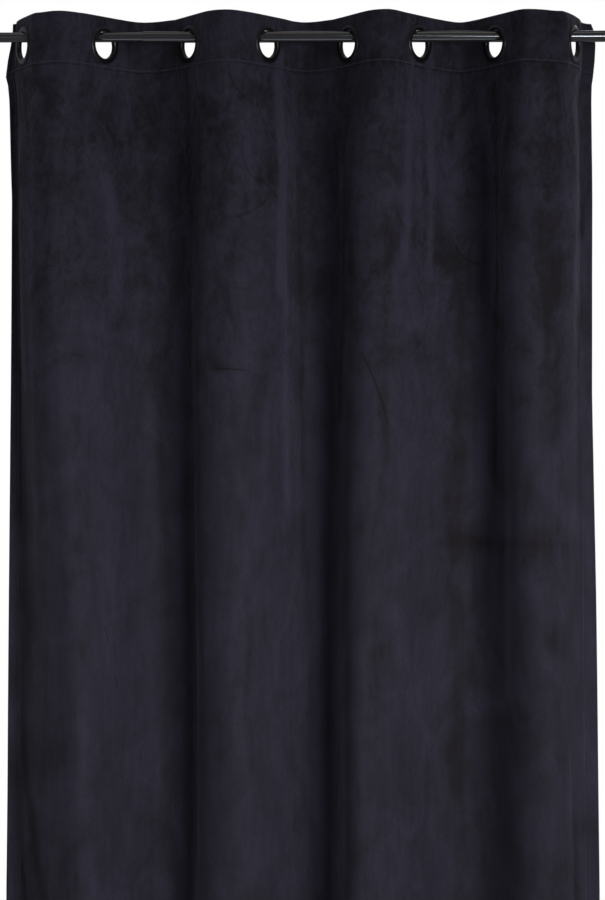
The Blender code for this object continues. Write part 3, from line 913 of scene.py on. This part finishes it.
def row_of_stitches_tree():
    """Beads of thread at an even pitch along lines, lying along them and facing out."""
    inputs = (("Geometry", "Geometry"), ("Stitch Pitch", STITCH_PITCH), ("Stitch Length", STITCH_LENGTH),
              ("Stitch Width", STITCH_WIDTH), ("Unevenness", 0.12), ("Seed", 7), ("Thread", "Material"))
    tree, start = new_group("row_of_stitches", "GeometryNodeTree", inputs, ("Geometry",))
    line = new_node(tree, "GeometryNodeMeshToCurve", {"Mesh": start["Geometry"]})
    even = new_node(tree, "GeometryNodeResampleCurve",
                    {"Curve": line.outputs["Curve"], "Length": start["Stitch Pitch"]}, mode="LENGTH")
    bead = new_node(tree, "GeometryNodeMeshUVSphere", {"Segments": 6, "Rings": 4, "Radius": 0.5})
    along = new_node(tree, "GeometryNodeInputTangent")
    facing = new_node(tree, "GeometryNodeInputNamedAttribute", {"Name": "facing"}, data_type="FLOAT_VECTOR")
    align = "FunctionNodeAlignRotationToVector"
    lying = new_node(tree, align, {"Vector": along.outputs["Tangent"]}, axis="X")
    ways = {"Rotation": lying.outputs["Rotation"], "Vector": facing.outputs["Attribute"]}
    turning = new_node(tree, align, ways, axis="Z", pivot_axis="X")
    size = new_node(tree, "ShaderNodeCombineXYZ",
                    {"X": start["Stitch Length"], "Y": start["Stitch Width"], "Z": start["Stitch Width"]})
    least = value_node(tree, "SUBTRACT", 1.0, start["Unevenness"])
    vary = new_node(tree, "FunctionNodeRandomValue", {2: least, "Seed": start["Seed"]}, data_type="FLOAT")
    grow = new_node(tree, "ShaderNodeVectorMath", {0: size.outputs["Vector"], "Scale": vary.outputs[1]},
                    operation="SCALE")
    return row_finished(tree, even.outputs["Curve"], bead.outputs["Mesh"], turning.outputs["Rotation"],
                        grow.outputs["Vector"], start["Thread"])


def made_real(holder, tree, inputs, name):
    """Plain mesh piece from a geometry tree on a holder object, which is then removed."""
    modifier = holder.modifiers.new(tree.name, "NODES")
    modifier.node_group = tree
    for item in tree.interface.items_tree:
        if item.in_out == "INPUT" and item.name in inputs:
            modifier[item.identifier] = inputs[item.name]
    ready = holder.evaluated_get(bpy.context.evaluated_depsgraph_get())
    mesh = bpy.data.meshes.new_from_object(ready)
    mesh.name = name
    bpy.data.objects.remove(holder, do_unlink=True)
    return add_object(name, mesh)


# Twisted polyester thread, a little lighter and glossier than the pile
dark_thread, thread_tree, thread_shader = new_material("dark_thread", (0.030, 0.029, 0.038), 0.45, 0.0)
spot = new_node(thread_tree, "ShaderNodeTexCoord").outputs["Object"]
fleck = noise_at(thread_tree, spot, 900.0, 2.0)
thread_tone = value_node(thread_tree, "ADD", fleck, 0.5)
tint_and_relief(thread_tree, thread_shader, thread_tone, (0.020, 0.019, 0.026), (0.060, 0.058, 0.074))

row_of_stitches = row_of_stitches_tree()
for side, surface, outward in (("front", panel_front, panel_facing), ("back", panel_back, -panel_facing)):
    seams = add_piece("seam_lines", seam_lines("seam_lines", surface, outward), [])
    stitches = made_real(seams, row_of_stitches, {"Thread": dark_thread}, f"{side}_stitches")
    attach(stitches, "root")


# Eyelets.
# Eight pressed two-part rings in dark nickel. The front ring's barrel goes through the cloth and the
# back ring is closed over it.
SEAT = DOUBLED / 2.0 + 0.00035

# Ring profiles: radius, distance towards the ring's face
FRONT_PROFILE = (
    (0.0215, -0.0034), (0.0225, -0.0034), (0.0225, SEAT), (0.0298, SEAT), (0.0300, SEAT + 0.0004),
    (0.0299, 0.0026), (0.0294, 0.0032), (0.0284, 0.0037), (0.0270, 0.0040), (0.0255, 0.0041),
    (0.0242, 0.0040), (0.0230, 0.0037), (0.0221, 0.0032), (0.0216, 0.0024), (0.0215, 0.0014),
)
BACK_PROFILE = (
    (0.0229, -SEAT), (0.0229, -0.0036), (0.0234, -0.0039), (0.0248, -0.0041), (0.0262, -0.0041),
    (0.0278, -0.0038), (0.0291, -0.0033), (0.0299, -0.0026), (0.0300, -SEAT - 0.0004), (0.0298, -SEAT),
)


def ring_points(name):
    """A point at each eyelet's centre, with its turn about the vertical."""
    mesh = bpy.data.meshes.new(name)
    mesh.from_pydata([(x, 0.0, height) for _, x, _, height in rings], [], [])
    turn = mesh.attributes.new("turn", "FLOAT", "POINT")
    turn.data.foreach_set("value", [angle for _, _, angle, _ in rings])
    return mesh


def row_of_rings_tree():
    """Sets one ring on each point, turned as the point says."""
    inputs = (("Geometry", "Geometry"), ("Ring", "Object"), ("Finish", "Material"))
    tree, start = new_group("row_of_rings", "GeometryNodeTree", inputs, ("Geometry",))
    ring = new_node(tree, "GeometryNodeObjectInfo", {"Object": start["Ring"]})
    turn = new_node(tree, "GeometryNodeInputNamedAttribute", {"Name": "turn"}, data_type="FLOAT")
    about = new_node(tree, "ShaderNodeCombineXYZ", {"Z": turn.outputs["Attribute"]})
    return row_finished(tree, start["Geometry"], ring.outputs["Geometry"], about.outputs["Vector"],
                        (1.0, 1.0, 1.0), start["Finish"])


ring_nickel = metal_finish("dark_nickel", dark=(0.036, 0.036, 0.038), light=(0.058, 0.058, 0.060),
                           roughness=(0.26, 0.38), metallic=0.9,
                           cloud_size=120.0, rub_size=1400.0, bump=0.00003)
row_of_rings = row_of_rings_tree()
for side, profile in (("front", FRONT_PROFILE), ("back", BACK_PROFILE)):
    outline = [(out, radius) for radius, out in profile]
    ring_mesh = turned(f"one_{side}_ring", outline, lambda out, x, z: (x, -out, z), 50.0)
    pattern = add_piece(f"one_{side}_ring", ring_mesh, [ring_nickel])
    holder = add_piece("ring_places", ring_points("ring_places"), [])
    inputs = {"Ring": pattern, "Finish": ring_nickel}
    eyelets = made_real(holder, row_of_rings, inputs, f"eyelet_{side}_rings")
    bpy.data.objects.remove(pattern, do_unlink=True)
    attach(eyelets, "root")
    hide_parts(*[f"eyelet_{number}_{side}" for number in range(1, 9)])


# Studio.
# A pale floor under the hem, short enough to stay out of the picture, soft lights to the right, to the
# left and behind, two strips along the rod and a small glint for its thick end, and a white surround
# that lights the back a little more than the front.
FLOOR_REACH = 5.0
FLOOR_HEIGHT = -2.60
FLOOR_SIDES = 64

floor_mesh = bpy.data.meshes.new("floor")
turns = [2.0 * math.pi * side / FLOOR_SIDES for side in range(FLOOR_SIDES)]
edge = [(FLOOR_REACH * math.cos(turn), FLOOR_REACH * math.sin(turn), FLOOR_HEIGHT) for turn in turns]
floor_mesh.from_pydata(edge, [], [tuple(range(FLOOR_SIDES))])
floor_paint, floor_tree, floor_shader = new_material("pale_floor", (0.80, 0.80, 0.79), 0.7, 0.0)
grain = new_node(floor_tree, "ShaderNodeTexNoise", {"Scale": 6.0})
tint_and_relief(floor_tree, floor_shader, grain.outputs["Fac"], (0.79, 0.79, 0.78), (0.82, 0.82, 0.81))
floor = add_piece("floor", floor_mesh, [floor_paint])

# Lights, none of them seen by the camera: name, place, aim, width, height, power, colour, spread in degrees
LIGHTS = (
    ("right_window", (2.0, -3.7, -0.9), (0.0, 0.0, -0.9), 2.4, 1.4, 11.0, (0.94, 0.96, 1.0), 34.0),
    ("left_fill", (-3.0, -3.6, -0.4), (0.0, 0.0, -0.8), 1.6, 2.2, 3.0, (1.0, 0.96, 0.92), 180.0),
    ("back_fill", (0.9, 3.0, 0.4), (0.0, 0.0, -1.0), 2.4, 1.6, 26.0, (0.96, 0.97, 1.0), 180.0),
    ("low_strip", (0.0, -1.0, -2.1), (0.0, 0.0, 0.0), 2.4, 0.4, 5.0, (0.88, 0.95, 1.0), 180.0),
    ("high_strip", (0.0, -0.35, 1.6), (0.0, 0.0, 0.0), 2.4, 0.4, 2.8, (1.0, 0.90, 0.70), 180.0),
    ("glint_strip", (0.72, -3.0, 0.8), (0.0, 0.0, 0.0), 0.8, 0.25, 1.5, (0.94, 0.97, 1.0), 180.0),
)
for name, place, aim, width, height, power, colour, spread in LIGHTS:
    data = bpy.data.lights.new(name, "AREA")
    data.shape = "RECTANGLE"
    data.size, data.size_y = width, height
    data.energy, data.color, data.spread = power, colour, math.radians(spread)
    light = add_object(name, data)
    light.location = place
    light.rotation_euler = (Vector(aim) - Vector(place)).to_track_quat("-Z", "Y").to_euler()
    light.visible_camera = False

world = bpy.data.worlds.new("surround")
bpy.context.scene.world = world
world.use_nodes = True
surround = world.node_tree
surround.nodes.clear()
direction = new_node(surround, "ShaderNodeTexCoord")
backward = new_node(surround, "ShaderNodeSeparateXYZ", {"Vector": direction.outputs["Generated"]})
behind = new_node(surround, "ShaderNodeMapRange",
                  {"Value": backward.outputs["Y"], "From Max": 0.7, "To Min": 0.14, "To Max": 0.30})
path = new_node(surround, "ShaderNodeLightPath")
white = new_node(surround, "ShaderNodeBackground", {"Color": (1.0, 1.0, 1.0, 1.0)})
dim = new_node(surround, "ShaderNodeBackground",
               {"Color": (0.90, 0.93, 1.0, 1.0), "Strength": behind.outputs["Result"]})
choose = new_node(surround, "ShaderNodeMixShader",
                  {"Fac": path.outputs["Is Camera Ray"], 1: dim.outputs["Background"],
                   2: white.outputs["Background"]})
new_node(surround, "ShaderNodeOutputWorld", {"Surface": choose.outputs["Shader"]})
bpy.context.scene.view_settings.view_transform = "Standard"
